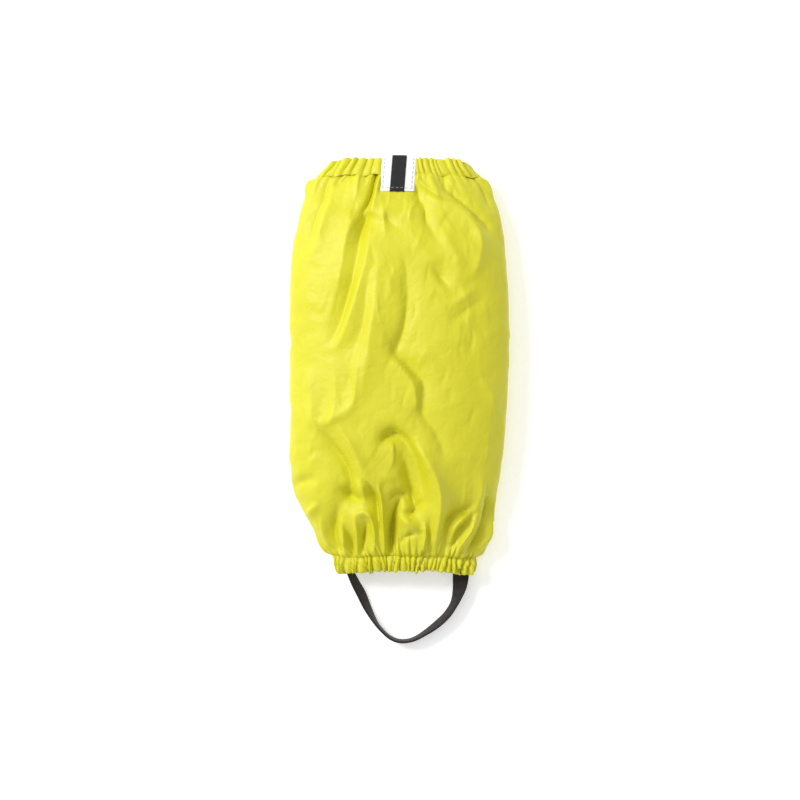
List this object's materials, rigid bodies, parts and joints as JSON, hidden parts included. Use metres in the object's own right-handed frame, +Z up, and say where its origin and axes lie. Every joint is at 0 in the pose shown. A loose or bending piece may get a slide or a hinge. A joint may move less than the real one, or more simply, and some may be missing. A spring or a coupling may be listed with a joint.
{
  "type": "gaiter",
  "caption": "Pull-on boot gaiter: a gathered coated fabric tube with elastic hems, a reflective tab on the knee hem and an elastic understrap, lying flat.",
  "frame": {"origin": "middle of the footprint, on the surface the gaiter lies on", "axes": "+Y from the foot towards the knee, +Z up out of the front of the gaiter as it lies on its back, +X to the viewer's right"},
  "size_m": [0.1535, 0.3427, 0.0481],
  "materials": {
    "coated_fabric": "lime yellow woven polyester with a waterproof coating, slight sheen",
    "hem_elastic": "white braided elastic",
    "reflective_tape": "white retro-reflective tape on a woven back",
    "black_ribbon": "black ribbed ribbon",
    "tab_thread": "light grey polyester sewing thread",
    "yellow_thread": "yellow polyester sewing thread",
    "seam_tape": "translucent heat-bonded seam tape",
    "strap_elastic": "charcoal woven elastic"
  },
  "bodies": {
    "gaiter": {"leg_panel": "coated_fabric", "top_hem": "coated_fabric", "bottom_hem": "coated_fabric", "top_elastic": "hem_elastic", "bottom_elastic": "hem_elastic", "reflective_tape": "reflective_tape", "tab_ribbon": "black_ribbon", "tab_stitching": "tab_thread", "top_hem_stitching": "yellow_thread", "bottom_hem_stitching": "yellow_thread", "back_seam_stitching": "yellow_thread", "back_seam_tape": "seam_tape", "strap_end_left": "strap_elastic", "strap_end_right": "strap_elastic", "bartack_left": "yellow_thread", "bartack_right": "yellow_thread"},
    "strap": {"strap_leg_left": "strap_elastic", "strap_leg_right": "strap_elastic"},
    "strap_under": {"strap_sole": "strap_elastic"}
  },
  "joints": [
    {"name": "strap_swing", "type": "hinge", "parent": "gaiter", "child": "strap", "pos_m": [0.004, -0.1215, 0.0088], "axis": [-1, 0, 0], "range_deg": [0, 90]},
    {"name": "strap_stretch", "type": "slide", "parent": "strap", "child": "strap_under", "axis": [0, -1, 0], "range_m": [0, 0.025], "stiffness_N_per_m": 120, "deforming": ["strap_leg_left", "strap_leg_right"]}
  ]
}
